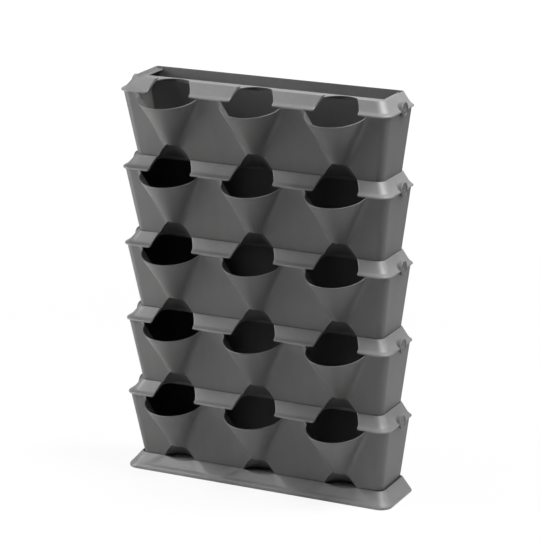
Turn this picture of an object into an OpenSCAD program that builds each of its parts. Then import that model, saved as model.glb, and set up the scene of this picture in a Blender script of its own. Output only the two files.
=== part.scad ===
/* [Stack] */
// Number of planting tiers, one above another
tier_count = 5; // [2:1:5]

/* [Trough] */
// Width of the trough at its foot
foot_w = 593; // [585:1:600]
// Width of the trough at its rim
rim_w = 638.6; // [632:0.2:646]
// Depth of the trough at its foot, front to back
foot_d = 108; // [104:1:112]
// Depth of the trough at its rim, front to back
rim_d = 131; // [127:1:135]
// Height of the trough from foot to rim
trough_h = 152.4; // [146:0.2:160]
// Corner radius at the front of the foot
foot_r = 17; // [12:1:22]
// Corner radius at the front of the rim
rim_r = 20; // [16:1:26]
// Corner radius at the back of the trough
back_r = 5; // [3:1:8]
// Wall of the trough
trough_wall = 2.5; // [2:0.1:3.5]
// Floor of the trough
trough_floor = 3; // [2:0.5:5]
// Diameter of a drain hole in the floor
drain_d = 8; // [5:0.5:12]
// Distance of the drain holes from the wall behind
drain_from_wall = 40; // [30:1:55]
// Spacing of the drain holes along the trough
drain_pitch = 100; // [80:5:110]
// Diameter of a screw hole in the back
screw_hole_d = 6; // [4:0.5:8]
// Spacing of the two screw holes in the back
screw_pitch = 400; // [300:10:420]
// Drop of the screw holes below the rim
screw_drop = 27.4; // [20:0.2:50]

/* [Pockets] */
// Number of planting pockets in a tier
pocket_count = 3; // [1:1:3]
// Spacing of the pockets along the tier
pocket_pitch = 200; // [190:1:202]
// Radius of a pocket's cup where its rim meets the front wall
cup_r = 70; // [60:1:74]
// Height above the foot at which a cup starts to swell
cup_start_h = 13.4; // [10:0.2:25]
// Drop of a cup's rim below the trough's rim, at the front wall
cup_rim_drop = 4.4; // [3.4:0.2:10]
// Slope of a cup's rim, down towards the front
cup_rim_slope = 12; // [6:1:18]
// Radius of the niche under a cup, at the foot
niche_r = 43; // [38:1:46]
// Height of the niche above the foot
niche_h = 41; // [34:1:48]
// Distance of the niche's axis from the wall behind
niche_from_wall = 122; // [118:1:126]

/* [Cover] */
// Depth at which a foot stands below the ridge that rings it
seat_depth = 5; // [3:0.5:8]
// Gap between a foot and the ridge round it
ridge_gap = 0.35; // [0.3:0.05:0.6]
// Thickness of the ridge
ridge_wall = 2.4; // [2:0.1:3]
// Height of the ridge above the trough's rim
cover_rise = 27.6; // [24:0.2:34]
// Drop of the lip below the trough's rim
lip_drop = 2.4; // [1.5:0.1:4]
// Gap between the trough's rim and the lip round it
lip_gap = 2; // [1:0.1:3]
// Thickness of the lip
lip_wall = 2.4; // [2:0.1:3]
// Run of the flatter flare at the foot of the skirt
flare_run = 6.4; // [4:0.2:8]
// Height of the flare above the trough's rim, at its outer edge
flare_low_h = 0.6; // [0.3:0.1:1.5]
// Height of the flare above the trough's rim, at the skirt
flare_high_h = 3.6; // [3:0.1:5]
// Depth of the shelf behind the front ridge
shelf_d = 41; // [36:1:50]
// Thickness of the shelf
shelf_t = 2.6; // [2:0.1:4]
// Width of the ledge along each side of the opening
ledge_w = 14; // [8:1:20]
// Drop of the stiffening edge behind the front shelf
shelf_edge_drop = 9; // [6:1:10]
// Radius of a pocket's cut-out at the ridge
cut_ridge_r = 41; // [38:0.5:44]
// Radius of a pocket's cut-out at the lip
cut_lip_r = 53.5; // [48:0.5:58]

/* [Side sleeves] */
// Distance of a sleeve from the wall behind
sleeve_from_wall = 56; // [45:1:70]
// Radius of a sleeve's outer disc
disc_r = 15; // [12:0.5:17]
// Thickness of the outer disc
disc_t = 5; // [4:0.2:5]
// Radius of the neck that passes the trough's wall
neck_r = 8; // [6:0.5:9]
// Radius of the inner flange
flange_r = 11; // [10:0.5:12]
// Thickness of the inner flange
flange_t = 2; // [1.5:0.1:3]
// Radius of the bore through a sleeve
sleeve_bore_r = 3; // [2:0.25:4]
// Gap round the neck in the trough's notch
neck_gap = 0.2; // [0.1:0.05:0.4]
// Gap between a sleeve's ends and the trough's wall
sleeve_end_gap = 0.7; // [0.5:0.1:1.2]
// Gap between a disc and the boss over it
boss_gap = 0.4; // [0.3:0.1:0.8]
// Wall of the boss
boss_wall = 3.1; // [2:0.1:4]
// Thickness of the plate that closes the boss inside
boss_end_t = 2.5; // [2:0.1:3.5]
// Stand-out of the disc's face from the lip
disc_stand_out = 1.3; // [1:0.1:3]

/* [Base] */
// Width of the base at its brim
brim_w = 650; // [646:1:670]
// Depth of the base at its brim
brim_d = 140; // [138:1:150]
// Height of the brim's edge
brim_h = 5; // [3:0.5:7]
// Corner radius at the front of the brim
brim_r = 26; // [20:1:32]
// Height of the base from floor to ridge
base_h = 32; // [28:1:40]
// Height at which the skirt turns out into the brim
brim_turn_h = 10.5; // [9:0.5:13]
// Run of the brim beyond the skirt
brim_run = 5; // [3:0.5:7]
// Thickness of the base's skirt
base_wall = 3; // [2.5:0.1:4]
// Thickness of the deck that the lowest trough stands on
deck_t = 3; // [2.5:0.5:4]
// Gap at each side between the lowest foot and the base's ridge
base_side_gap = 3.3; // [0.5:0.1:4]
// Thickness of a rib under the deck
rib_t = 2.4; // [2:0.2:4]
// Depth of the shallow panel under each pocket
panel_depth = 2.2; // [1.5:0.1:2.6]
// Thickness of the plate behind each panel
panel_back_t = 2.6; // [2:0.1:3]

/* [Hidden] */

skin = 0.05;
past = 1;
smooth = 96;
hull_smooth = 32;
half = 1/2;
plastic = [0.36, 0.355, 0.35];
cover_plastic = [0.45, 0.45, 0.45];

// The wall behind the planter is at y = 0 in each module and the front is at negative y
trough_back = ridge_wall + ridge_gap;
side_lean = (rim_w - foot_w)*half/trough_h;
front_lean = (rim_d - foot_d)/trough_h;
lean_angle = atan(front_lean);
tier_pitch = trough_h + cover_rise - seat_depth;
ridge_top = cover_rise;
shelf_top = cover_rise - seat_depth;
shelf_low = shelf_top - shelf_t;

function trough_half_w(z) = foot_w*half + side_lean*z;
function trough_front(z) = trough_back + foot_d + front_lean*z;
function foot_height(k) = base_h - seat_depth + (k - 1)*tier_pitch;
function pocket_x(i) = (i - (pocket_count - 1)*half)*pocket_pitch;

// A cup is a cone that leans with the front wall, cut by its sloping rim
cup_rim_h = trough_h - cup_rim_drop;
cup_axis_h = (cup_rim_h - cup_start_h)/cos(lean_angle);
cup_half_angle = atan(cup_r/cup_axis_h);
cup_front_run = tan(lean_angle + cup_half_angle);
rim_fall = tan(cup_rim_slope);
cup_run_on = cup_rim_drop + trough_wall;
cup_rim_front = trough_front(cup_rim_h);
pocket_front = (trough_front(cup_start_h)
    + (cup_rim_h + rim_fall*cup_rim_front - cup_start_h)*cup_front_run)/(1 + rim_fall*cup_front_run);
overall_d = pocket_front;
wall_y = overall_d*half;

ridge_half_w = trough_half_w(seat_depth) + ridge_gap + ridge_wall;
ridge_front = trough_front(seat_depth) + ridge_gap + ridge_wall;
ridge_r = foot_r + ridge_gap + ridge_wall;
ridge_back_r = back_r + ridge_gap + ridge_wall;
lip_half_w = rim_w*half + lip_gap + lip_wall;
lip_front = trough_front(trough_h) + lip_gap + lip_wall;
lip_r = rim_r + lip_gap + lip_wall;

// Half width and depth of the cover's skirt, which leans out from the ridge to the flare
skirt_slope = (lip_half_w - flare_run - ridge_half_w)/(ridge_top - flare_high_h);
skirt_front_slope = (lip_front - flare_run - ridge_front)/(ridge_top - flare_high_h);
function skirt_half_w(z) = ridge_half_w + skirt_slope*(ridge_top - z);
function skirt_front(z) = ridge_front + skirt_front_slope*(ridge_top - z);
base_ridge_half_w = trough_half_w(seat_depth) + base_side_gap + ridge_wall;

sleeve_face = lip_half_w + disc_stand_out;
disc_back = sleeve_face - disc_t;
flange_front = rim_w*half - trough_wall - side_lean*flange_r - sleeve_end_gap;
flange_back = flange_front - flange_t;
boss_r = disc_r + boss_gap + boss_wall;
boss_bore_r = disc_r + boss_gap;

// A slab with its own corner radii, flat against the wall side at y = -back
module slab(half_w, front, back, front_r, rear_r, z, thickness) {
    for (side = [-1, 1]) {
        translate([side*(half_w - front_r), -(front - front_r), z])
            cylinder(r = front_r, h = thickness, $fn = hull_smooth);
        translate([side*(half_w - rear_r), -(back + rear_r), z])
            cylinder(r = rear_r, h = thickness, $fn = hull_smooth);
    }
}

// A cylinder that lies across the planter, from x0 to x1 on the given side
module side_cylinder(side, x0, x1, r) {
    translate([side*x0, -sleeve_from_wall, 0])
        rotate([0, side*90, 0])
            cylinder(r = r, h = x1 - x0, $fn = smooth);
}

module trough_outside() {
    hull() {
        slab(foot_w*half, trough_front(0), trough_back, foot_r, back_r, 0, skin);
        slab(rim_w*half, trough_front(trough_h), trough_back, rim_r, back_r, trough_h - skin, skin);
    }
}

module trough_inside() {
    low = trough_floor;
    high = trough_h + cup_r*sin(lean_angle);
    inner_r = back_r - trough_wall;
    hull() {
        slab(trough_half_w(low) - trough_wall, trough_front(low) - trough_wall,
            trough_back + trough_wall, foot_r - trough_wall, inner_r, low, skin);
        slab(trough_half_w(high) - trough_wall, trough_front(high) - trough_wall,
            trough_back + trough_wall, rim_r - trough_wall, inner_r, high, skin);
    }
}

// Inset by a wall, it is the hollow of the cup, which runs on above the rim
module cup(inset, run_on) {
    start_r = 1;
    start = (start_r + inset/cos(cup_half_angle))/tan(cup_half_angle);
    length = cup_axis_h + run_on - start;
    translate([0, -trough_front(cup_start_h), cup_start_h])
        rotate([lean_angle, 0, 0])
            translate([0, 0, start])
                cylinder(r1 = start_r, r2 = start_r + length*tan(cup_half_angle),
                    h = length, $fn = smooth);
}

// The niche is a dome: its height falls with the square of the radius
module niche(extra) {
    steps = 8;
    r = niche_r + extra;
    h = niche_h + extra;
    translate([0, -niche_from_wall, 0])
        rotate_extrude($fn = smooth)
            polygon(concat(
                [[0, -past], [r, -past]],
                [for (i = [0:steps]) [r*sqrt(1 - i/steps), h*i/steps]]
            ));
}

// Everything above a cup's sloping rim, in front of the trough
module above_cup_rim() {
    reach = cup_r + trough_wall;
    behind = 2*trough_wall;
    translate([0, -cup_rim_front, cup_rim_h])
        rotate([cup_rim_slope, 0, 0])
            translate([-reach, -2*reach, 0])
                cube([2*reach, 2*reach + behind, reach]);
}

module sleeve_notches(r) {
    for (side = [-1, 1])
        side_cylinder(side, flange_back - past, sleeve_face, r);
}

module trough() {
    color(plastic)
        difference() {
            union() {
                trough_outside();
                for (i = [0:pocket_count - 1])
                    translate([pocket_x(i), 0, 0]) cup(0, past);
            }
            difference() {
                union() {
                    trough_inside();
                    for (i = [0:pocket_count - 1])
                        translate([pocket_x(i), 0, 0]) cup(trough_wall, cup_run_on);
                }
                for (i = [0:pocket_count - 1])
                    translate([pocket_x(i), 0, 0]) niche(trough_wall);
            }
            for (i = [0:pocket_count - 1])
                translate([pocket_x(i), 0, 0]) {
                    niche(0);
                    above_cup_rim();
                }
            translate([0, 0, trough_h])
                sleeve_notches(neck_r + neck_gap);
            for (i = [-2:2])
                translate([i*drain_pitch, -drain_from_wall, -past])
                    cylinder(d = drain_d, h = trough_floor + 2*past, $fn = smooth);
            for (side = [-1, 1])
                translate([side*screw_pitch*half, 0, trough_h - screw_drop])
                    rotate([90, 0, 0])
                        cylinder(d = screw_hole_d, h = trough_back + trough_wall + past, $fn = smooth);
        }
}

module skirt_outside() {
    hull() {
        slab(skirt_half_w(ridge_top), skirt_front(ridge_top), 0, ridge_r, ridge_back_r,
            ridge_top - skin, skin);
        slab(skirt_half_w(flare_high_h), skirt_front(flare_high_h), 0, lip_r, ridge_back_r,
            flare_high_h, skin);
    }
    hull() {
        slab(skirt_half_w(flare_high_h), skirt_front(flare_high_h), 0, lip_r, ridge_back_r,
            flare_high_h, skin);
        slab(lip_half_w, lip_front, 0, lip_r, ridge_back_r, -lip_drop, lip_drop + flare_low_h);
    }
}

// Hollow under the shelf, down to the seat on the trough's rim
module skirt_hollow() {
    inner_r = ridge_r - ridge_wall;
    hull() {
        slab(skirt_half_w(shelf_low) - ridge_wall, skirt_front(shelf_low) - ridge_wall, ridge_wall,
            inner_r, inner_r, shelf_low - skin, skin);
        slab(skirt_half_w(0) - ridge_wall, skirt_front(0) - ridge_wall, ridge_wall,
            inner_r, inner_r, -past, past);
    }
}

// Recess inside the lip, which the trough's rim stands in
module lip_recess() {
    hull()
        slab(lip_half_w - lip_wall, lip_front - lip_wall, ridge_wall, lip_r - lip_wall,
            ridge_back_r - ridge_wall, -lip_drop - past, lip_drop + past);
}

// Recess inside the ridge, which the next foot stands in
module foot_recess() {
    inner_r = ridge_r - ridge_wall;
    hull()
        slab(ridge_half_w - ridge_wall, ridge_front - ridge_wall, ridge_wall, inner_r,
            ridge_back_r - ridge_wall, shelf_top, seat_depth + past);
}

// Opening behind the front shelf, with a ledge left along each side
module shelf_opening() {
    opening_half_w = ridge_half_w - ridge_wall - ledge_w;
    opening_d = ridge_front - shelf_d - ridge_wall;
    translate([-opening_half_w, -ridge_wall - opening_d, 0])
        cube([2*opening_half_w, opening_d, ridge_top]);
}

// Stiffening edge that hangs from the back of the front shelf
module shelf_edge() {
    edge_half_w = skirt_half_w(shelf_top) - ridge_wall*half;
    translate([-edge_half_w, -(ridge_front - shelf_d) - shelf_t, shelf_top - shelf_edge_drop])
        cube([2*edge_half_w, shelf_t, shelf_edge_drop]);
}

module pocket_cut() {
    cut_h = ridge_top + lip_drop;
    spread = (cut_lip_r - cut_ridge_r)*past/cut_h;
    translate([0, -niche_from_wall, -lip_drop - past])
        cylinder(r1 = cut_lip_r + spread, r2 = cut_ridge_r - spread, h = cut_h + 2*past, $fn = smooth);
}

module boss(side) {
    intersection() {
        side_cylinder(side, flange_back - sleeve_end_gap - boss_end_t, sleeve_face, boss_r);
        translate([-2*lip_half_w, -lip_front, 0])
            cube([4*lip_half_w, lip_front, 2*boss_r]);
    }
}

module cover() {
    color(cover_plastic)
        difference() {
            union() {
                difference() {
                    skirt_outside();
                    skirt_hollow();
                    lip_recess();
                    foot_recess();
                    shelf_opening();
                }
                shelf_edge();
                for (side = [-1, 1])
                    boss(side);
            }
            for (i = [0:pocket_count - 1])
                translate([pocket_x(i), 0, 0]) pocket_cut();
            for (side = [-1, 1])
                side_cylinder(side, flange_back - sleeve_end_gap, sleeve_face + past, boss_bore_r);
        }
}

module side_sleeve(side) {
    color(plastic)
        difference() {
            union() {
                side_cylinder(side, disc_back, sleeve_face, disc_r);
                side_cylinder(side, flange_back, sleeve_face - disc_t*half, neck_r);
                side_cylinder(side, flange_back, flange_front, flange_r);
            }
            side_cylinder(side, flange_back - past, sleeve_face + past, sleeve_bore_r);
        }
}

module base_outside() {
    turn_half_w = brim_w*half - brim_run;
    turn_front = brim_d - brim_run;
    hull() {
        slab(base_ridge_half_w, ridge_front, 0, ridge_r, ridge_back_r, base_h - skin, skin);
        slab(turn_half_w, turn_front, 0, brim_r, ridge_back_r, brim_turn_h, skin);
    }
    hull() {
        slab(turn_half_w, turn_front, 0, brim_r, ridge_back_r, brim_turn_h, skin);
        slab(brim_w*half, brim_d, 0, brim_r, ridge_back_r, 0, brim_h);
    }
}

module base_underside() {
    deck_low = base_h - seat_depth - deck_t;
    run = (brim_w*half - brim_run - base_ridge_half_w)/(base_h - brim_turn_h);
    front_run = (brim_d - brim_run - ridge_front)/(base_h - brim_turn_h);
    hull() {
        slab(base_ridge_half_w + run*(base_h - deck_low) - base_wall,
            ridge_front + front_run*(base_h - deck_low) - base_wall,
            base_wall, ridge_r - base_wall, ridge_back_r - base_wall, deck_low - skin, skin);
        slab(brim_w*half - brim_run - base_wall, brim_d - brim_run - base_wall,
            base_wall, brim_r - base_wall, ridge_back_r - base_wall, -past, brim_turn_h + past);
    }
}

// The seat of the lowest foot, inside the base's ridge
module base_seat() {
    hull()
        slab(base_ridge_half_w - ridge_wall, ridge_front - ridge_wall, ridge_wall,
            ridge_r - ridge_wall, ridge_back_r - ridge_wall, base_h - seat_depth, seat_depth + past);
}

// A panel lies in the plane of the front skirt, inset by the given amount
module panel(inset, thickness, grow) {
    fall = base_h - brim_turn_h;
    run = brim_d - brim_run - ridge_front;
    length = sqrt(fall*fall + run*run);
    top_half = sqrt(pow(cut_ridge_r, 2) - pow(niche_from_wall - ridge_front, 2)) + grow;
    low_half = cut_lip_r + grow;
    translate([0, -ridge_front, base_h])
        rotate([-atan(run/fall), 0, 0])
            translate([0, inset + thickness, 0])
                rotate([90, 0, 0])
                    linear_extrude(thickness)
                        polygon([[-top_half, 0], [top_half, 0], [low_half, -length], [-low_half, -length]]);
}

// The ridge dips over each pocket panel in a shallow arc
module ridge_dip() {
    chord = sqrt(pow(cut_ridge_r, 2) - pow(niche_from_wall - ridge_front, 2));
    dip = seat_depth;
    arc_r = (chord*chord + dip*dip)/(2*dip);
    translate([0, -ridge_front + 2*ridge_wall, base_h - dip + arc_r])
        rotate([90, 0, 0])
            cylinder(r = arc_r, h = 4*ridge_wall, $fn = 3*smooth);
}

module ribs() {
    rib_h = base_h - seat_depth - deck_t;
    rib_y = [drain_from_wall*half, ridge_front - drain_from_wall*half];
    for (y = rib_y)
        translate([-(base_ridge_half_w - ridge_wall), -y - rib_t*half, 0])
            cube([2*(base_ridge_half_w - ridge_wall), rib_t, rib_h]);
    for (i = [-2:2])
        translate([i*drain_pitch - rib_t*half, -ridge_front, 0])
            cube([rib_t, ridge_front - ridge_wall*half, rib_h]);
}

module base_tray() {
    color(cover_plastic)
        difference() {
            union() {
                difference() {
                    base_outside();
                    base_underside();
                }
                ribs();
                for (i = [0:pocket_count - 1])
                    translate([pocket_x(i), 0, 0])
                        panel(panel_depth, panel_back_t, panel_depth);
            }
            base_seat();
            for (i = [0:pocket_count - 1])
                translate([pocket_x(i), 0, 0]) {
                    panel(-past, panel_depth + past, 0);
                    ridge_dip();
                }
        }
}

module on_tier(k, h) {
    translate([0, wall_y, foot_height(k) + h])
        children();
}

translate([0, wall_y, 0]) base_tray();
for (k = [1:tier_count]) {
    on_tier(k, 0) trough();
    on_tier(k, trough_h) cover();
    on_tier(k, trough_h) side_sleeve(-1);
    on_tier(k, trough_h) side_sleeve(1);
}
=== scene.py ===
import bmesh
import bpy
import math
import numpy as np
from mathutils import Matrix, Vector


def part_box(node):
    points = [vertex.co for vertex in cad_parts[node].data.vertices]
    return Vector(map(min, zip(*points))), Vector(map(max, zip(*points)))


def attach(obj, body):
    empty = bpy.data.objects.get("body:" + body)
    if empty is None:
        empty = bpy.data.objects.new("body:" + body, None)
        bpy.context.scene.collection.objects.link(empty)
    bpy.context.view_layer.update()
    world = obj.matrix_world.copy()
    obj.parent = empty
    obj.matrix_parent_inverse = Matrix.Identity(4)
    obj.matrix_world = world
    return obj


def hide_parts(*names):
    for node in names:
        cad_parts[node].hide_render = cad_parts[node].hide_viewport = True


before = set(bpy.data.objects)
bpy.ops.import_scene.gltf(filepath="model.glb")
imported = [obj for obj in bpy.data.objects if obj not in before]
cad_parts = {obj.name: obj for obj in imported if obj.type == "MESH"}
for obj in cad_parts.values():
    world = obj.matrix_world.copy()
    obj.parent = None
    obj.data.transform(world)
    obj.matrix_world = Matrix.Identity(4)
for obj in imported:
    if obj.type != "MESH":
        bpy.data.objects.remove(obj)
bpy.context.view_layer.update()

# Lengths are in millimetres, apart from the ribs, the stage and the camera, which are in metres.
tiers = range(1, 6)  # tier 1 stands on the base
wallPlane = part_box("base_tray")[1].y * 1000
footHeight = {k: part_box(f"trough_{k}")[0].z * 1000 for k in tiers}
pocketPitch = 200
pocketCentres = (pocketPitch, 0, -pocketPitch)
sideColumn = 60  # distance from the wall of the one column in the middle of a plain side


class Wire:  # a socket that does sums
    def __init__(self, sheet, socket):
        self.sheet, self.socket = sheet, socket

    def work(self, operation, a, b):
        return self.sheet.node("ShaderNodeMath", {"operation": operation}, {0: a, 1: b})

    def __add__(self, other):
        return self.work("ADD", self, other)

    def __sub__(self, other):
        return self.work("SUBTRACT", self, other)

    def __rsub__(self, other):
        return self.work("SUBTRACT", other, self)

    def __mul__(self, other):
        return self.work("MULTIPLY", self, other)

    def __truediv__(self, other):
        return self.work("DIVIDE", self, other)

    def __rtruediv__(self, other):
        return self.work("DIVIDE", other, self)

    __radd__, __rmul__ = __add__, __mul__

    def clamped(self):
        return self.work("MINIMUM", self.work("MAXIMUM", self, 0.0), 1.0)


class Sheet:  # one material and its nodes
    def __init__(self, name):
        self.material = bpy.data.materials.new(name)
        self.material.use_nodes = True
        self.tree = self.material.node_tree
        self.tree.nodes.clear()

    def node(self, kind, settings=None, sockets=None, out=0):
        made = self.tree.nodes.new(kind)
        for key, value in (settings or {}).items():
            setattr(made, key, value)
        for key, value in (sockets or {}).items():
            if isinstance(value, Wire):
                self.tree.links.new(value.socket, made.inputs[key])
            else:
                made.inputs[key].default_value = value
        return Wire(self, made.outputs[out]) if made.outputs else made

    def mix(self, amount, a, b):
        return self.node("ShaderNodeMix", {"data_type": "RGBA"}, {"Factor": amount, "A": a, "B": b}, 2)


def grey(level, warmth=0.0):
    return (level * (1 + warmth), level, level * (1 - warmth), 1)


objectCoordinates = 3  # the output of a Texture Coordinate node

plasticFinish = {
    "level": 0.13, "range": 0.3, "warmth": 0.012,
    "cloudScale": 9, "cloudShade": 0.35,
    "flowScale": 40, "flowShade": 0.3, "flowStretch": (1, 1, 0.12), "flowDepth": 0.25,
    "grainScale": 1300, "grainShade": 0.9, "grainDepth": 0.45, "grainHeight": 0.0003,
    "speckScale": 420, "speckFrom": 0.62, "speckGain": 9, "dust": 0.1, "dustLift": 1.7,
    "rough": 0.44, "roughRange": 0.12, "specular": 0.5, "ior": 1.49,
}


def mouldedPlastic(name, changes):
    finish = {**plasticFinish, **changes}
    sheet = Sheet(name)
    spot = sheet.node("ShaderNodeTexCoord", out=objectCoordinates)

    def noise(scale, detail, rough=0.5, where=spot):
        return sheet.node("ShaderNodeTexNoise", None,
                          {"Vector": where, "Scale": scale, "Detail": detail, "Roughness": rough})

    cloud = noise(finish["cloudScale"], 3)
    drawn = sheet.node("ShaderNodeMapping", None, {"Vector": spot, "Scale": finish["flowStretch"]})
    flow = noise(finish["flowScale"], 2, 0.6, drawn)  # faint streaks of the melt, drawn upwards
    grain = noise(finish["grainScale"], 2, 0.6)
    speck = noise(finish["speckScale"], 1)
    shade = (cloud - 0.5) * finish["cloudShade"] + (flow - 0.5) * finish["flowShade"] \
        + (grain - 0.5) * finish["grainShade"] + 0.5
    dark = grey(finish["level"] * (1 - finish["range"]), finish["warmth"])
    light = grey(finish["level"] * (1 + finish["range"]), finish["warmth"])
    colour = sheet.mix(shade.clamped(), dark, light)
    dust = ((speck - finish["speckFrom"]) * finish["speckGain"]).clamped() * finish["dust"]
    colour = sheet.mix(dust, colour, grey(finish["level"] * finish["dustLift"]))
    rough = (cloud - 0.5) * finish["roughRange"] + (grain - 0.5) * finish["roughRange"] + finish["rough"]
    bump = sheet.node("ShaderNodeBump", None,
                      {"Strength": finish["grainDepth"], "Distance": finish["grainHeight"],
                       "Height": grain + flow * finish["flowDepth"]})
    surface = sheet.node("ShaderNodeBsdfPrincipled", None,
                         {"Base Color": colour, "Roughness": rough, "Normal": bump,
                          "IOR": finish["ior"], "Specular IOR Level": finish["specular"]})
    sheet.node("ShaderNodeOutputMaterial", None, {"Surface": surface})
    return sheet.material


troughPlastic = mouldedPlastic("moulded grey plastic", {})
coverPlastic = mouldedPlastic("moulded light grey plastic", {"level": 0.25, "warmth": 0.0, "rough": 0.37})
sleevePlastic = mouldedPlastic("moulded dark grey plastic", {"level": 0.12, "rough": 0.4})
print("finishes mixed")


# Mesh helpers: x is to the right, d is the distance in front of the wall, z is up.
def toMesh(name, points, faces, weld=1e-6):
    points = np.asarray(points, float)
    placed = np.column_stack([points[:, 0], wallPlane - points[:, 1], points[:, 2]]) / 1000
    mesh = bpy.data.meshes.new(name)
    mesh.from_pydata(placed.tolist(), [], faces)
    built = bmesh.new()
    built.from_mesh(mesh)
    bmesh.ops.remove_doubles(built, verts=built.verts, dist=weld)
    bmesh.ops.recalc_face_normals(built, faces=built.faces)
    if built.calc_volume(signed=True) < 0:
        bmesh.ops.reverse_faces(built, faces=built.faces)
    built.to_mesh(mesh)
    built.free()
    return mesh


def gridFaces(rows, cols):  # the last column joins the first
    faces = []
    for r in range(rows - 1):
        for c in range(cols):
            a, b = r * cols + c, r * cols + (c + 1) % cols
            faces.append((a, b, b + cols, a + cols))
    return faces


def tubeMesh(name, loops):  # loops: (rows, cols, 3); the first and last loops are closed by a flat face
    rows, cols = loops.shape[:2]
    faces = gridFaces(rows, cols)
    faces.append(tuple(range(cols))[::-1])
    faces.append(tuple(range((rows - 1) * cols, rows * cols)))
    return toMesh(name, loops.reshape(-1, 3), faces)


def ringMesh(name, loops):  # the last loop joins the first
    rows, cols = loops.shape[:2]
    return toMesh(name, np.concatenate([loops, loops[:1]]).reshape(-1, 3), gridFaces(rows + 1, cols))


def lathe(name, centre, axis, profile, steps, arc=(0, 360)):
    # profile: (radius, along) pairs of a closed outline, turned about "z", "x" or, mirrored, "x-"
    whole = arc[1] - arc[0] >= 360
    turns = np.radians(np.linspace(arc[0], arc[1], steps + 1))
    turns = turns[:-1] if whole else turns
    edge = np.asarray(profile, float)
    r, along = edge[:, 0], edge[:, 1] * (-1 if axis.endswith("-") else 1)
    loops = []
    for turn in turns:
        a, b = r * math.cos(turn), r * math.sin(turn)
        loops.append(np.column_stack([a, b, along] if axis[0] == "z" else [along, a, b]) + centre)
    loops = np.array(loops)
    return ringMesh(name, loops) if whole else tubeMesh(name, loops)


def boxMesh(x0, x1, d0, d1, z0, z1, leanBy=0):
    points = [(x, d + leanBy * z, z) for z in (z0, z1) for x, d in ((x0, d0), (x1, d0), (x1, d1), (x0, d1))]
    sides = [(0, 1, 2, 3), (4, 7, 6, 5), (0, 4, 5, 1), (1, 5, 6, 2), (2, 6, 7, 3), (3, 7, 4, 0)]
    return toMesh("box", points, sides)


def together(name, meshes):
    built = bmesh.new()
    for mesh in meshes:
        built.from_mesh(mesh)
    whole = bpy.data.meshes.new(name)
    built.to_mesh(whole)
    built.free()
    return whole


def workObject(mesh):
    thing = bpy.data.objects.new(mesh.name, mesh)
    bpy.context.scene.collection.objects.link(thing)
    return thing


def evaluated(thing, name):
    made = bpy.data.meshes.new_from_object(thing.evaluated_get(bpy.context.evaluated_depsgraph_get()))
    made.name = name
    return made


def sealed(mesh, gap=3e-6):  # a cut leaves vertices that all but touch
    built = bmesh.new()
    built.from_mesh(mesh)
    bmesh.ops.remove_doubles(built, verts=built.verts, dist=gap)
    bmesh.ops.dissolve_degenerate(built, edges=built.edges, dist=gap)
    rim = [edge for edge in built.edges if len(edge.link_faces) == 1]
    if rim:
        bmesh.ops.holes_fill(built, edges=rim, sides=6)
    built.to_mesh(mesh)
    built.free()
    return mesh


def carved(mesh, tool, operation):
    body, cutter = workObject(mesh), workObject(tool)
    step = body.modifiers.new("carve", "BOOLEAN")
    step.object, step.operation, step.solver = cutter, operation, "EXACT"
    bpy.context.view_layer.update()
    made = evaluated(body, mesh.name)
    bpy.data.objects.remove(body)
    bpy.data.objects.remove(cutter)
    return sealed(made)


def smoothed(mesh, angle=38):
    mesh.materials.clear()
    mesh.polygons.foreach_set("use_smooth", [True] * len(mesh.polygons))
    mesh.set_sharp_from_angle(angle=math.radians(angle))
    thing = workObject(mesh)
    step = thing.modifiers.new("normals", "WEIGHTED_NORMAL")
    step.keep_sharp = True
    bpy.context.view_layer.update()
    made = evaluated(thing, mesh.name)
    bpy.data.objects.remove(thing)
    return made


def place(name, mesh, lift, material, body, node):
    own = mesh.copy()
    own.name = name
    own.transform(Matrix.Translation((0, 0, lift / 1000)))
    own.materials.clear()
    own.materials.append(material)
    piece = workObject(own)
    piece.name = name
    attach(piece, body)
    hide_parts(node)


def heldShare(value):  # between 0 and 1
    return min(max(value, 0), 1)


def eased(share):
    return share * share * (3 - 2 * share)


def quarterTurn(points):
    return np.radians(np.linspace(0, 90, points))


# A rounded oblong in plan, flat against the wall at d = back. Its sizes are numbers, or arrays of one shape.
def outline(half, front, back, frontRadius, backRadius, sideStops, frontStops):
    xs, ds = [], []

    def add(x, d):
        xs.append(x + 0 * half)
        ds.append(d + 0 * half)

    for s in np.linspace(0, 1, 4)[:-1]:
        add((half - backRadius) * s, back)
    for a in quarterTurn(7):
        add(half - backRadius + backRadius * math.sin(a), back + backRadius * (1 - math.cos(a)))
    for stop in sideStops:
        add(half, stop)
    for a in quarterTurn(13):
        add(half - frontRadius * (1 - math.cos(a)), front - frontRadius * (1 - math.sin(a)))
    for x, d in frontStops:
        add(x, d)
    right = np.stack([np.stack(xs, -1), np.stack(ds, -1)], -1)
    left = right[..., ::-1, :] * np.array([-1, 1])
    return np.concatenate([right, left[..., :-1, :]], -2)


def slabMesh(name, edge, low, high):  # a flat plate with the plan that outline gives
    return tubeMesh(name, np.array([[(x, d, z) for x, d in edge] for z in (low, high)]))


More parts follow.
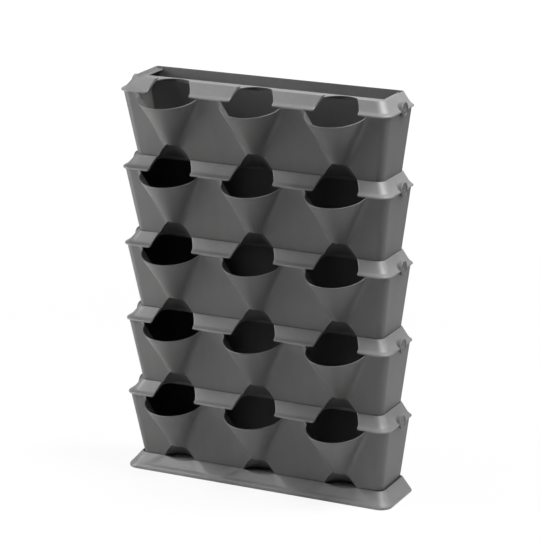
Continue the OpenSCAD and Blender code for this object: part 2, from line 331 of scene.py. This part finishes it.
# Trough: a tapering box with three leaning half-cone cups, and a domed niche under each.
trough = {
    "footHalf": 296.5, "footFront": 110.75, "back": 2.75, "height": 152.4,
    "sideLean": 22.8 / 152.4, "frontLean": 23 / 152.4,
    "footRadius": 17, "rimRadius": 20, "backRadius": 5,
    "wall": 2.5, "floor": 3, "rimRound": 1.1,
    "notch": 8.2, "notchEdge": 0.1, "notchFromWall": 56, "notchFrom": 290, "sideStops": (20, 34, 76, 88),
    "drains": (-200, -100, 0, 100, 200), "drainRadius": 4, "drainFromWall": 40, "drainCut": (-5, 8),
    "screws": (-200, 200), "screwRadius": 3, "screwHeight": 125, "screwCut": (0, 10),
    # where the rows of faces lie: as shares of the outside's height, and as heights of the inside
    "outsideRows": (0, 0.05, 0.12, 0.2, 0.26, 0.32, 0.38, 0.45, 0.52, 0.6, 0.68, 0.76, 0.84, 0.91, 0.96, 1),
    "insideRows": (24, 40, 45, 46.5, 48, 50, 54, 60, 72, 88, 104, 120, 136, 148),
}
pocket = {
    "start": 13.4, "rimDrop": 4.4, "rimSlope": 12, "radius": 70, "blend": 15, "half": 96,
    "rimEase": 13, "rimEaseStart": 1.5,
    "hollowFrom": 47, "hollowSlope": 0.8,
    "nicheRadius": 43, "nicheHeight": 41, "nicheFromWall": 122, "nicheCutFrom": -6,
    "columns": 76, "samples": 1400, "halvings": 40, "bendWeight": 9, "bendSpan": 9,
    "sideShare": 1.03, "sideMargin": 6, "frontShare": 1.2, "frontMargin": 10, "behind": 12,
}
# the block that keeps the niches' inner domes within the trough's walls
liner = {"half": 290, "fromWall": 20, "frontGap": 0.6, "low": 0.4, "high": 60, "domeLow": 0.5}
lean = math.atan(trough["frontLean"])
rimHeight = trough["height"] - pocket["rimDrop"]
spread = pocket["radius"] / ((rimHeight - pocket["start"]) / math.cos(lean))


def wallFront(z):
    return trough["footFront"] + trough["frontLean"] * z


def pocketField(u, d, z, inset):
    # below zero inside the trough's front wall or its cup, which blend into one another
    flat = (d - wallFront(z)) * math.cos(lean)
    up, out = z - pocket["start"], d - wallFront(pocket["start"])
    along = up * math.cos(lean) + out * math.sin(lean)
    across = out * math.cos(lean) - up * math.sin(lean)
    cone = (np.hypot(u, across) - spread * along) * math.cos(math.atan(spread))
    if inset:
        cone = np.maximum(cone, (pocket["hollowFrom"] - z) * pocket["hollowSlope"])
    q = pocket["blend"]
    overlap = np.clip(q - np.abs(flat - cone), 0, None) / q
    return np.minimum(flat, cone) - overlap * overlap * q / 4 + inset


def pocketTable(heights, inset):
    # each row is the plan of the cup at one height, shared out along its length and closer at the bends
    dense, columns = pocket["samples"], pocket["columns"]
    table = np.zeros((len(heights), columns + 1, 2))
    half = np.maximum(heights - pocket["start"], 0) * spread * pocket["sideShare"]
    reach = half + pocket["blend"] + pocket["sideMargin"]
    u = reach[:, None] * np.linspace(-1, 1, dense)[None, :]
    z = np.repeat(heights[:, None], dense, 1)
    low = wallFront(z) - pocket["behind"]
    high = wallFront(z) + reach[:, None] * pocket["frontShare"] + pocket["frontMargin"]
    for _ in range(pocket["halvings"]):
        middle = (low + high) / 2
        outside = pocketField(u, middle, z, inset) > 0
        high, low = np.where(outside, middle, high), np.where(outside, low, middle)
    span = np.ones(pocket["bendSpan"]) / pocket["bendSpan"]
    for row in range(len(heights)):
        du, dd = np.diff(u[row]), np.diff(high[row])
        turn = np.abs(np.diff(np.unwrap(np.arctan2(dd, du))))
        bend = np.convolve(np.concatenate([[0], turn]) + np.concatenate([turn, [0]]), span, "same") / 2
        share = np.concatenate([[0], np.cumsum(np.hypot(du, dd) + pocket["bendWeight"] * bend)])
        stops = np.linspace(0, share[-1], columns + 1)
        table[row, :, 0] = np.interp(stops, share, u[row])
        table[row, :, 1] = np.interp(stops, share, high[row])
    return (table + table[:, ::-1] * np.array([-1, 1])) / 2


tableHeights = np.linspace(0, 156, 131)
pocketTables = {inset: pocketTable(tableHeights, inset) for inset in (0, trough["wall"])}
notchEnd = trough["notch"] + trough["notchEdge"]
notchStops = [-notchEnd, *(-trough["notch"] * np.cos(np.radians(np.linspace(0, 180, 13)))), notchEnd]
sideStops = sorted([*trough["sideStops"], *(trough["notchFromWall"] + stop for stop in notchStops)])


def troughColumns(inset):
    # one (x, d) track for each column, as arrays over tableHeights, the right half first
    half = trough["footHalf"] + trough["sideLean"] * tableHeights - inset
    front, back = wallFront(tableHeights) - inset, trough["back"] + inset
    growth = (trough["rimRadius"] - trough["footRadius"]) * tableHeights / trough["height"]
    radius = trough["footRadius"] + growth - inset
    table = pocketTables[inset]
    frontStops = []

    def flatRun(x0, x1, count):
        for s in np.linspace(0, 1, count + 2)[1:-1]:
            frontStops.append((x0 + (x1 - x0) * s, front))

    def cupRun(centre, last):
        for column in range(pocket["columns"], last - 1, -1):
            frontStops.append((centre + table[:, column, 0], table[:, column, 1]))

    edge = table[:, -1, 0]
    flatRun(half - radius, pocketPitch + edge, 2)
    cupRun(pocketPitch, 0)
    flatRun(pocketPitch - edge, edge, 4)
    cupRun(0, pocket["columns"] // 2)
    columns = outline(half, front, back, radius, trough["backRadius"] - inset, sideStops, frontStops)
    middle = (columns.shape[1] + 1) // 2 - 1  # the middle cup's own middle column is met from both sides
    met = np.allclose(columns[:, middle], columns[:, middle + 1])
    return np.delete(columns, middle + 1, 1) if met else columns


def rimTop(x, d):
    top = np.full(x.shape, float(trough["height"]))
    out = d - wallFront(rimHeight)
    slope = rimHeight - math.tan(math.radians(pocket["rimSlope"])) * out
    ease = eased(np.clip((out + pocket["rimEaseStart"]) / pocket["rimEase"], 0, 1))
    sloped = np.minimum(top, slope + (trough["height"] - slope) * (1 - ease))
    inPocket = np.min([np.abs(x - centre) for centre in pocketCentres], 0) < pocket["half"]
    top = np.where(inPocket & (out > -pocket["rimEaseStart"]), sloped, top)
    off = np.abs(d - trough["notchFromWall"])
    dip = np.sqrt(np.clip(trough["notch"] ** 2 - off * off, 0, None))
    inNotch = (np.abs(x) > trough["notchFrom"]) & (off < trough["notch"] + trough["notchEdge"] / 2)
    return np.where(inNotch, top - dip, top)


def topOf(columns):
    # the height at which each column's track meets the rim
    x, d = columns[..., 0], columns[..., 1]
    above = tableHeights[:, None] - rimTop(x, d)
    tops = np.zeros(x.shape[1])
    for c in range(x.shape[1]):
        row = int(np.argmax(above[:, c] > 0))
        a, b = above[row - 1, c], above[row, c]
        tops[c] = tableHeights[row - 1] + (tableHeights[row] - tableHeights[row - 1]) * (-a / (b - a))
    return tops


def trackAt(columns, heights):  # heights: (rows, cols)
    made = np.zeros(heights.shape + (3,))
    for c in range(heights.shape[1]):
        made[:, c, 0] = np.interp(heights[:, c], tableHeights, columns[:, c, 0])
        made[:, c, 1] = np.interp(heights[:, c], tableHeights, columns[:, c, 1])
    made[..., 2] = heights
    return made


def domeProfile(extra, bottom, steps=18, skip=0.3):  # no point of the curve within skip of the foot
    r, h = pocket["nicheRadius"] + extra, pocket["nicheHeight"] + extra
    curve = [(r * math.sin(a), h * math.cos(a) ** 2) for a in np.linspace(math.pi / 2, 0, steps + 1)]
    foot = r * math.sqrt(1 - max(bottom, 0) / h)
    return [(0.0, bottom), (foot, bottom)] + [point for point in curve if point[1] > bottom + skip]


def domes(extra, bottom):
    profile = domeProfile(extra, bottom)
    return together("domes", [lathe("dome", (centre, pocket["nicheFromWall"], 0), "z", profile, 72)
                              for centre in pocketCentres])


def drainBar(x):
    low, high = trough["drainCut"]
    profile = [(0.0, low), (trough["drainRadius"], low), (trough["drainRadius"], high), (0.0, high)]
    return lathe("bar", (x, trough["drainFromWall"], 0), "z", profile, 40)


def screwBar(x):
    r, z = trough["screwRadius"], trough["screwHeight"]
    turns = np.linspace(0, 2 * math.pi, 32, endpoint=False)
    return tubeMesh("bar", np.array([[(x + r * math.cos(a), d, z + r * math.sin(a)) for a in turns]
                                     for d in trough["screwCut"]]))


def troughMesh():
    outer, inner = troughColumns(0), troughColumns(trough["wall"])
    rimRound, floorTop, insideTop = trough["rimRound"], trough["floor"], trough["insideRows"][-1]
    shares = np.array(trough["outsideRows"])[:, None]
    outside = trackAt(outer, shares * (topOf(outer) - rimRound)[None, :])
    levels = np.array([floorTop, *trough["insideRows"]])[:, None]
    squeeze = (topOf(inner) - rimRound - floorTop) / (insideTop - floorTop)
    inside = trackAt(inner, floorTop + (levels - floorTop) * squeeze[None, :])[::-1]
    middle, reach = (outside[-1] + inside[0]) / 2, (outside[-1] - inside[0]) / 2
    rim = [middle + reach * math.cos(a) + np.array([0, 0, rimRound * math.sin(a)])
           for a in np.radians([30, 60, 90, 120, 150])]
    shell = tubeMesh("trough", np.concatenate([outside, np.array(rim), inside]))
    block = boxMesh(-liner["half"], liner["half"], liner["fromWall"], trough["footFront"] - liner["frontGap"],
                    liner["low"], liner["high"], trough["frontLean"])
    shell = carved(shell, carved(domes(trough["wall"], liner["domeLow"]), block, "INTERSECT"), "UNION")
    shell = carved(shell, domes(0, pocket["nicheCutFrom"]), "DIFFERENCE")
    bars = [drainBar(x) for x in trough["drains"]] + [screwBar(x) for x in trough["screws"]]
    return smoothed(carved(shell, together("bars", bars), "DIFFERENCE"))


troughShell = troughMesh()
print("trough shaped:", len(troughShell.polygons), "faces")
for k in tiers:
    node = f"trough_{k}"
    place(f"trough.{k}", troughShell, footHeight[k], troughPlastic, node, node)


# Cover: a flared skirt whose front is cut into teeth over the pockets, with a shelf inside its ridge.
cover = {
    "ridgeHalf": 300, "ridgeFront": 114.25, "frontShare": 17.5 / 17.3,
    "ridgeRadius": 19.75, "lipRadius": 24.4, "backRadius": 7.75, "wall": 2.4,
    "lipWidth": 23.7, "cutRidge": 41, "cutLip": 53.5, "cutFromWall": 122, "ridge": 27.6, "lip": -2.8,
    "edgeRound": 3.4, "flange": 9,
    "shelfTop": 22.58, "shelf": 2.58, "shelfHalf": 302.6, "shelfFront": 116.8,
    "shelfCorner": 19.5, "shelfRearCorner": 6.0, "shelfDepth": 41, "cutGap": 1.2,
    "ledge": 14, "gapFromWall": 0.5, "cutMargin": 3, "edgeHalf": 301, "edgeDeep": 9, "edgeDrop": 0.2,
    # height and run of the outside, then of the inside, from the ridge to the lip
    "profile": [
        (27.6, -0.8, 27.6, -1.7), (27.35, -0.2, 27.35, -2.2), (26.6, 0.5, 26.7, -2.4),
        (22.0, 3.6, 22.8, -2.4), (14.0, 9.3, 20.5, 2.5), (8.6, 13.4, 8.6, 11.2), (6.8, 15.0, 6.4, 12.9),
        (5.4, 16.5, 4.6, 14.3), (4.2, 18.3, 3.0, 15.6), (3.2, 20.2, 1.6, 16.6), (2.3, 21.9, 0.0, 17.6),
        (1.3, 23.1, 0.0, 20.9), (0.1, 23.8, -0.4, 21.2), (-1.2, 23.9, -1.4, 21.3), (-2.3, 23.5, -2.3, 21.6),
        (-2.8, 22.7, -2.8, 22.2),
    ],
}
boss = {
    "root": 13.5, "outer": 18.2, "inner": 15.4, "from": 309.3, "full": 321.5, "to": 325.0,
    "end": 2.5, "rootWall": 2, "innerFull": 320.5, "fromWall": trough["notchFromWall"], "round": 0.9,
}


def cutRadius(z):  # of a pocket's cut-out
    share = (z - cover["lip"]) / (cover["ridge"] - cover["lip"])
    return cover["cutLip"] + (cover["cutRidge"] - cover["cutLip"]) * share


def cutHalf(z, d, extra):
    return math.sqrt(max(cutRadius(z) ** 2 - (d - cover["cutFromWall"]) ** 2, 1.0)) + extra


def coverLevels(inside):
    wall = cover["wall"] if inside else 0
    levels = []
    for zOut, runOut, zIn, runIn in cover["profile"]:
        z, run = (zIn, runIn) if inside else (zOut, runOut)
        growth = (cover["lipRadius"] - cover["ridgeRadius"]) * (run + wall) / cover["lipWidth"]
        levels.append({
            "z": z, "half": cover["ridgeHalf"] + run,
            "front": cover["ridgeFront"] + run * cover["frontShare"], "back": wall,
            "radius": cover["ridgeRadius"] + growth - wall, "backRadius": cover["backRadius"] - wall,
            "flangeTip": cover["ridgeFront"] + runOut * cover["frontShare"] - cover["flange"],
        })
    return levels


def cutEnd(level, centre, sign, inside):
    # from the flange's tip, round the edge, to the face of the tooth that lies on the sign side of a cut-out
    extra = cover["wall"] if inside else 0
    radius = cover["edgeRound"] - extra
    z, tip, bend = level["z"], level["flangeTip"], level["front"] - radius
    points = [(centre + sign * cutHalf(z, d, extra), d) for d in (tip, (tip + bend) / 2)]
    start = centre + sign * cutHalf(z, bend, extra)
    for a in quarterTurn(6):
        points.append((start + sign * radius * (1 - math.cos(a)), bend + radius * math.sin(a)))
    return points


def skirtStrip(name, trackOf):
    def rows(inside):
        return [[(x, d, level["z"]) for x, d in trackOf(level, inside)] for level in coverLevels(inside)]

    loop = np.array(rows(False) + rows(True)[::-1])  # down the outside and up the inside
    return tubeMesh(name, np.swapaxes(loop, 0, 1))


def toothTrack(left, right):
    def track(level, inside):
        start = cutEnd(level, left, 1, inside)
        end = cutEnd(level, right, -1, inside)[::-1]
        x0, x1 = start[-1][0], end[0][0]
        return start + [(x0 + (x1 - x0) * s, level["front"]) for s in (0.25, 0.5, 0.75)] + end
    return track


def roundTrack(level, inside):
    # from the right-hand cut-out round the corner, the side and the back to the left-hand cut-out
    half, front, back = level["half"], level["front"], level["back"]
    radius, backRadius = level["radius"], level["backRadius"]
    start = cutEnd(level, pocketPitch, 1, inside)
    corner = [(half - radius + radius * math.sin(a), front - radius + radius * math.cos(a))
              for a in quarterTurn(15)]
    rear = [(half - backRadius + backRadius * math.cos(a), back + backRadius * (1 - math.sin(a)))
            for a in quarterTurn(7)]
    halfway = ((start[-1][0] + corner[0][0]) / 2, front)
    right = start + [halfway] + corner + [(half, sideColumn)] + rear
    return right + [(0, back)] + [(-x, d) for x, d in right[::-1]]


def shelfMesh():
    low, top = cover["shelfTop"] - cover["shelf"], cover["shelfTop"]
    edge = outline(cover["shelfHalf"], cover["shelfFront"], cover["wall"] / 2, cover["shelfCorner"],
                   cover["shelfRearCorner"], [sideColumn], [(0, cover["shelfFront"])])
    plate = slabMesh("shelf", edge, low, top)
    inner = cover["ridgeFront"] - cover["shelfDepth"]
    gapHalf = cover["ridgeHalf"] - cover["wall"] - cover["ledge"]
    gap = boxMesh(-gapHalf, gapHalf, cover["gapFromWall"], inner,
                  low - cover["cutMargin"], top + cover["cutMargin"])
    plate = carved(plate, gap, "DIFFERENCE")
    fold = boxMesh(-cover["edgeHalf"], cover["edgeHalf"], inner, inner + cover["shelf"],
                   top - cover["edgeDeep"], top - cover["edgeDrop"])
    plate = carved(plate, fold, "UNION")
    wide, narrow = cutRadius(0.0) + cover["cutGap"], cutRadius(cover["ridge"]) + cover["cutGap"]
    profile = [(0.0, 0.0), (wide, 0.0), (narrow, cover["ridge"]), (0.0, cover["ridge"])]
    cuts = [lathe("cut", (centre, cover["cutFromWall"], 0), "z", profile, 96) for centre in pocketCentres]
    return carved(plate, together("cuts", cuts), "DIFFERENCE")


def softCorner(radius, face, r, side=1, middle=0.3):  # side -1 is the corner of a hollow
    points = [(radius, face - r), (radius - side * middle * r, face - middle * r), (radius - side * r, face)]
    return points[::side]


def bossMesh(axis):
    thin, thinEnd = boss["root"] - boss["rootWall"], boss["from"] + boss["end"]
    profile = [(0.0, boss["from"]), (boss["root"], boss["from"]), (boss["outer"], boss["full"])]
    profile += softCorner(boss["outer"], boss["to"], boss["round"])
    profile += softCorner(boss["inner"], boss["to"], boss["round"], -1)
    profile += [(boss["inner"], boss["innerFull"]), (thin, thinEnd), (0.0, thinEnd)]
    return lathe("boss", (0, boss["fromWall"], 0), axis, profile, 36, (0, 180))


def coverMesh():
    teeth = [skirtStrip("teeth", toothTrack(left, left + pocketPitch)) for left in (-pocketPitch, 0)]
    return smoothed(together("cover", teeth + [skirtStrip("skirt", roundTrack), shelfMesh(),
                                               bossMesh("x"), bossMesh("x-")]))


coverShell = coverMesh()
print("cover shaped:", len(coverShell.polygons), "faces")
for k in tiers:
    node = f"cover_{k}"
    place(f"cover.{k}", coverShell, footHeight[k] + trough["height"], coverPlastic, node, node)


# Side sleeve: a flanged disc with a through bore, on the parting line of a tier.
sleeve = {
    "disc": 15, "discFrom": 320, "face": 325, "neck": 8,
    "flange": 11, "flangeFrom": 312.46, "flangeTo": 314.46,
    "bore": 3, "hollow": 6.2, "hollowEdge": 1, "boreEdge": 0.5,
    "plate": 1.3, "round": 0.9, "dish": 1.1, "dishSlope": 0.7, "rim": 1.6,
}


def sleeveMesh(axis):
    face, r, bore = sleeve["face"], sleeve["round"], sleeve["bore"]
    discFrom, flangeTo = sleeve["discFrom"], sleeve["flangeTo"]
    dish = face - sleeve["dish"]
    plate = dish - sleeve["plate"]  # behind it the disc is hollow
    rim = sleeve["disc"] - r - sleeve["rim"]
    profile = [(bore, sleeve["flangeFrom"]), (sleeve["flange"], sleeve["flangeFrom"]),
               (sleeve["flange"], flangeTo), (sleeve["neck"], flangeTo), (sleeve["neck"], discFrom),
               (sleeve["disc"] - r, discFrom), (sleeve["disc"], discFrom + r)]
    profile += softCorner(sleeve["disc"], face, r)
    profile += [(rim, face), (rim - sleeve["dishSlope"], dish), (bore, dish), (bore, plate),
                (sleeve["hollow"], plate - sleeve["hollowEdge"]),
                (sleeve["hollow"], flangeTo + sleeve["hollowEdge"]), (bore, flangeTo - sleeve["boreEdge"])]
    return smoothed(lathe("sleeve", (0, boss["fromWall"], 0), axis, profile, 48))


for side, axis in (("left", "x-"), ("right", "x")):
    shape = sleeveMesh(axis)
    for k in tiers:
        node = f"side_sleeve_{side}_{k}"
        lift = footHeight[k] + trough["height"]
        place(f"sleeve.{side}.{k}", shape, lift, sleevePlastic, f"trough_{k}", node)
print("sleeves set")


# Base: a low flared tray with shallow panels under the pockets, a deck and ribs beneath.
base = {
    "ridgeHalf": 302.95, "ridgeFront": 114.25, "height": 32, "turn": 10.5, "turnHalf": 320, "turnFront": 135,
    "brimHalf": 325, "brimFront": 140, "ridgeRadius": 19.75, "brimRadius": 26, "backRadius": 7.75,
    "wall": 2.4, "insideRadius": 8,
    "deckTop": 26.98, "deck": 2.98, "deckInset": 1.4, "deckBack": 1.2, "deckRearCorner": 6.0,
    "panelTop": 40, "panelFoot": 72, "panelDepth": 2.6, "panelBlend": 0.28,
    "panelFrom": 9.5, "panelRise": 3.0,
    "dip": 5, "dipFrom": 25, "dipRise": 5, "dipInside": 0.85,
    "ribsBehind": 0.6, "ribsLift": 0.2,
    # height and share of the way from the ridge (0) by the turn (1) to the brim (2), outside and inside
    "profile": [
        (32, -0.035, 32, -0.075), (31.75, -0.01, 31.75, -0.105), (31.1, 0.042, 31.2, -0.115),
        (25.5, 0.302, 27.5, -0.115), (20, 0.558, 23.5, 0.25), (15, 0.79, 15, 0.64), (12.2, 0.92, 12, 0.77),
        (10.8, 1.0, 9, 0.9), (9.2, 1.28, 7, 1.0), (7.2, 1.62, 5.5, 1.2), (5.6, 1.86, 4, 1.32),
        (4.6, 1.97, 3, 1.36), (3.6, 2.0, 2, 1.38), (1.2, 2.0, 1, 1.4), (0.35, 1.97, 0.3, 1.42),
        (0, 1.9, 0, 1.5),
    ],
}


def baseAt(share):
    inner, outer = min(share, 1.0), max(share - 1.0, 0.0)
    half, front = (base["ridge" + key] + (base["turn" + key] - base["ridge" + key]) * inner
                   + (base["brim" + key] - base["turn" + key]) * outer for key in ("Half", "Front"))
    return half, front, base["ridgeRadius"] + (base["brimRadius"] - base["ridgeRadius"]) * heldShare(share)


def panelStops():  # shares of a panel's half width, closer where its edges blend in
    soft = base["panelBlend"]
    right = [*np.linspace(1 + soft, 1 - soft, 13), *np.linspace(1 - soft, 0, 7)[1:-1]]
    return right + [0.0] + [-e for e in right[::-1]]


def frontPoints(z, front, inside):
    drop = base["height"] - base["turn"]
    slopeRun = (base["turnFront"] - base["ridgeFront"]) / drop
    sunk = base["panelDepth"] * heldShare((z - base["panelFrom"]) / base["panelRise"])
    growth = (base["panelFoot"] - base["panelTop"]) * heldShare((base["height"] - z) / drop)
    deepest = base["dip"] * heldShare((z - base["dipFrom"]) / base["dipRise"])
    deepest *= base["dipInside"] if inside else 1
    soft, points = base["panelBlend"], []
    for centre in pocketCentres:
        for e in panelStops():
            dip = deepest * max(1 - e * e, 0)
            ahead = 0 if inside else dip * slopeRun
            back = sunk * eased(heldShare((1 + soft - abs(e)) / (2 * soft)))
            points.append((centre + e * (base["panelTop"] + growth), front + ahead - back, z - dip))
    return points


def baseLoop(z, share, inside):
    half, front, radius = baseAt(share)
    wall = base["wall"] if inside else 0
    if inside:
        radius = max(radius - wall, base["insideRadius"])
    backRadius = base["backRadius"] - wall
    right = [(half - backRadius + backRadius * math.sin(a), wall + backRadius * (1 - math.cos(a)), z)
             for a in quarterTurn(7)]
    right.append((half, sideColumn, z))
    right += [(half - radius * (1 - math.cos(a)), front - radius * (1 - math.sin(a)), z)
              for a in quarterTurn(15)]
    left = [(-x, d, height) for x, d, height in right[::-1]]
    return np.array([(0, wall, z)] + right + frontPoints(z, front, inside) + left)


def baseMesh():
    outside = [baseLoop(z, share, False) for z, share, _, _ in base["profile"]]
    inside = [baseLoop(z, share, True) for _, _, z, share in base["profile"]][::-1]
    ring = ringMesh("base", np.array(outside + inside))
    half, front = base["ridgeHalf"] - base["deckInset"], base["ridgeFront"] - base["deckInset"]
    edge = outline(half, front, base["deckBack"], base["ridgeRadius"], base["deckRearCorner"],
                   [sideColumn], [(0, front)])
    return together("base", [ring, slabMesh("deck", edge, base["deckTop"] - base["deck"], base["deckTop"])])


ribs = {"Count": 5, "Spacing": 0.1, "Thickness": 0.0024, "Height": 0.0238, "Length": 0.1115,
        "Rail length": 0.6005, "Rail gap": 0.0743}


def ribTree():
    tree = bpy.data.node_groups.new("ribs under the deck", "GeometryNodeTree")
    tree.interface.new_socket("Geometry", in_out="OUTPUT", socket_type="NodeSocketGeometry")
    for name, value in ribs.items():
        kind = "NodeSocketInt" if name == "Count" else "NodeSocketFloat"
        tree.interface.new_socket(name, in_out="INPUT", socket_type=kind).default_value = value
    tree.interface.new_socket("Finish", in_out="INPUT", socket_type="NodeSocketMaterial")

    def add(kind, settings=None, sockets=None):
        made = tree.nodes.new(kind)
        for key, value in (settings or {}).items():
            setattr(made, key, value)
        for key, value in (sockets or {}).items():
            if isinstance(value, bpy.types.NodeSocket):
                tree.links.new(value, made.inputs[key])
            else:
                made.inputs[key].default_value = value
        return made.outputs[0] if made.outputs else made

    def vector(x=0.0, y=0.0, z=0.0):
        return add("ShaderNodeCombineXYZ", None, {"X": x, "Y": y, "Z": z})

    def crossBars(count, gap, direction, size):
        span = add("ShaderNodeMath", {"operation": "SUBTRACT"}, {0: count, 1: 1.0})
        span = add("ShaderNodeMath", {"operation": "MULTIPLY"}, {0: span, 1: gap})
        first = add("ShaderNodeMath", {"operation": "MULTIPLY"}, {0: span, 1: -0.5})
        line = add("GeometryNodeMeshLine", {"mode": "OFFSET"},
                   {"Count": count, "Start Location": vector(**{direction: first}),
                    "Offset": vector(**{direction: gap})})
        bar = add("GeometryNodeMeshCube", None, {"Size": size})
        return add("GeometryNodeInstanceOnPoints", None, {"Points": line, "Instance": bar})

    entry = tree.nodes.new("NodeGroupInput").outputs
    thickness, height = entry["Thickness"], entry["Height"]
    across = crossBars(entry["Count"], entry["Spacing"], "x", vector(thickness, entry["Length"], height))
    rails = crossBars(2, entry["Rail gap"], "y", vector(entry["Rail length"], thickness, height))
    joined = tree.nodes.new("GeometryNodeJoinGeometry")
    tree.links.new(across, joined.inputs[0])
    tree.links.new(rails, joined.inputs[0])
    real = add("GeometryNodeRealizeInstances", None, {0: joined.outputs[0]})
    painted = add("GeometryNodeSetMaterial", None, {"Geometry": real, "Material": entry["Finish"]})
    add("NodeGroupOutput", None, {0: painted})
    return tree


def ribMesh():
    carrier = workObject(bpy.data.meshes.new("ribs"))
    step = carrier.modifiers.new("ribs", "NODES")
    step.node_group = ribTree()
    for item in step.node_group.interface.items_tree:
        if item.in_out == "INPUT":
            step[item.identifier] = coverPlastic if item.name == "Finish" else ribs[item.name]
    bpy.context.view_layer.update()
    made = evaluated(carrier, "ribs")
    bpy.data.objects.remove(carrier)
    middle = (wallPlane - base["ridgeFront"] / 2 - base["ribsBehind"]) / 1000
    made.transform(Matrix.Translation((0, middle, ribs["Height"] / 2 + base["ribsLift"] / 1000)))
    return made


baseShell = smoothed(together("base", [baseMesh(), ribMesh()]), 32)
place("base.tray", baseShell, 0, coverPlastic, "base", "base_tray")
print("base set:", len(baseShell.polygons), "faces")


# Floor, light and camera. The camera sees the floor hazed towards white, fully from clear + fade outwards.
stage = {
    "floor": 0.88, "floorHalf": 9, "floorDrop": 0.0004, "patchScale": 3.0, "patchShade": 0.98,
    "sky": 0.02, "haze": 0.87, "white": 1.02, "clear": 0.6, "fade": 1.8,
}
lamps = {  # place, target, width and height, power
    "overhead": ((0.95, 0.05, 2.7), (0, 0, 0.5), (1.4, 1.0), 57),
    "high left": ((-1.3, -0.85, 2.0), (-0.2, -0.1, 0.1), (0.35, 0.35), 4),
    "left": ((-1.5, -0.6, 0.9), (-0.2, 0, 0.4), (0.7, 1.3), 20),
    "low left": ((-0.95, -0.55, 0.5), (-0.3, 0, 0.3), (0.3, 0.8), 1.6),
    "right rear": ((2.2, 0.9, 1.7), (0, 0, 0.5), (0.8, 1.4), 20),
    "backdrop": ((-1.1, 2.6, 1.1), (0, 0, 0.7), (2.6, 1.6), 14),
}
view = {
    "azimuth": 26.35, "elevation": 16.95, "roll": -0.49, "focal": 178.1, "sensor": 36, "distance": 5.8615,
    "target": (0.01082, wallPlane / 1000 - 0.07, 0.49108), "clipEnd": 100,
}


def floorSheet():
    sheet = Sheet("pale floor")
    seen = sheet.node("ShaderNodeLightPath")  # its first output is Is Camera Ray
    patch = sheet.node("ShaderNodeTexNoise", None, {"Scale": stage["patchScale"], "Detail": 2.0})
    colour = sheet.mix(patch, grey(stage["floor"] * stage["patchShade"]), grey(stage["floor"]))
    matt = sheet.node("ShaderNodeBsdfDiffuse", None, {"Color": colour})
    white = sheet.node("ShaderNodeEmission", None, {"Color": (1, 1, 1, 1), "Strength": stage["white"]})
    spot = sheet.node("ShaderNodeTexCoord", out=objectCoordinates)
    away = sheet.node("ShaderNodeVectorMath", {"operation": "LENGTH"}, {0: spot}, 1)
    far = ((away - stage["clear"]) / stage["fade"]).clamped()
    haze = seen * (far * (1 - stage["haze"]) + stage["haze"])
    lit = sheet.node("ShaderNodeMixShader", None, {0: haze, 1: matt, 2: white})
    sheet.node("ShaderNodeOutputMaterial", None, {"Surface": lit})
    return sheet.material


def layFloor():
    reach = stage["floorHalf"]
    mesh = bpy.data.meshes.new("floor")
    mesh.from_pydata([(-reach, -reach, 0), (reach, -reach, 0), (reach, reach, 0), (-reach, reach, 0)], [],
                     [(0, 1, 2, 3)])
    mesh.materials.append(floorSheet())
    floor = workObject(mesh)
    floor.location.z = -stage["floorDrop"]


def hangSky():  # white to the camera, and all but dark to everything else
    world = bpy.data.worlds.new("studio")
    bpy.context.scene.world = world
    world.use_nodes = True
    nodes, links = world.node_tree.nodes, world.node_tree.links
    nodes.clear()
    ray, blend = nodes.new("ShaderNodeLightPath"), nodes.new("ShaderNodeMixShader")
    links.new(ray.outputs["Is Camera Ray"], blend.inputs[0])
    for socket, strength in ((1, stage["sky"]), (2, 1.0)):
        sky = nodes.new("ShaderNodeBackground")
        sky.inputs["Color"].default_value = (1, 1, 1, 1)
        sky.inputs["Strength"].default_value = strength
        links.new(sky.outputs[0], blend.inputs[socket])
    links.new(blend.outputs[0], nodes.new("ShaderNodeOutputWorld").inputs[0])


def softLamp(name, spot, target, size, power):
    lamp = bpy.data.lights.new(name, "AREA")
    lamp.shape, lamp.size, lamp.size_y, lamp.energy = "RECTANGLE", size[0], size[1], power
    thing = bpy.data.objects.new(name, lamp)
    bpy.context.scene.collection.objects.link(thing)
    thing.location = spot
    thing.rotation_euler = (Vector(target) - Vector(spot)).to_track_quat("-Z", "Y").to_euler()


def setCamera():
    camera = bpy.data.objects.new("camera", bpy.data.cameras.new("camera"))
    bpy.context.scene.collection.objects.link(camera)
    bpy.context.scene.camera = camera
    camera.data.sensor_width, camera.data.lens = view["sensor"], view["focal"]
    camera.data.clip_end = view["clipEnd"]
    az, el, roll = (math.radians(view[key]) for key in ("azimuth", "elevation", "roll"))
    back = Vector((math.sin(az) * math.cos(el), -math.cos(az) * math.cos(el), math.sin(el)))
    side = Vector((math.cos(az), math.sin(az), 0))
    turned = side * math.cos(roll) + back.cross(side) * math.sin(roll)
    camera.matrix_world = Matrix.Translation(Vector(view["target"]) + back * view["distance"]) \
        @ Matrix((turned, back.cross(turned), back)).transposed().to_4x4()


layFloor()
hangSky()
for name, (spot, target, size, power) in lamps.items():
    softLamp(name, spot, target, size, power)
setCamera()
bpy.context.scene.view_settings.view_transform = "Standard"
print("stage lit:", len(lamps), "lamps")
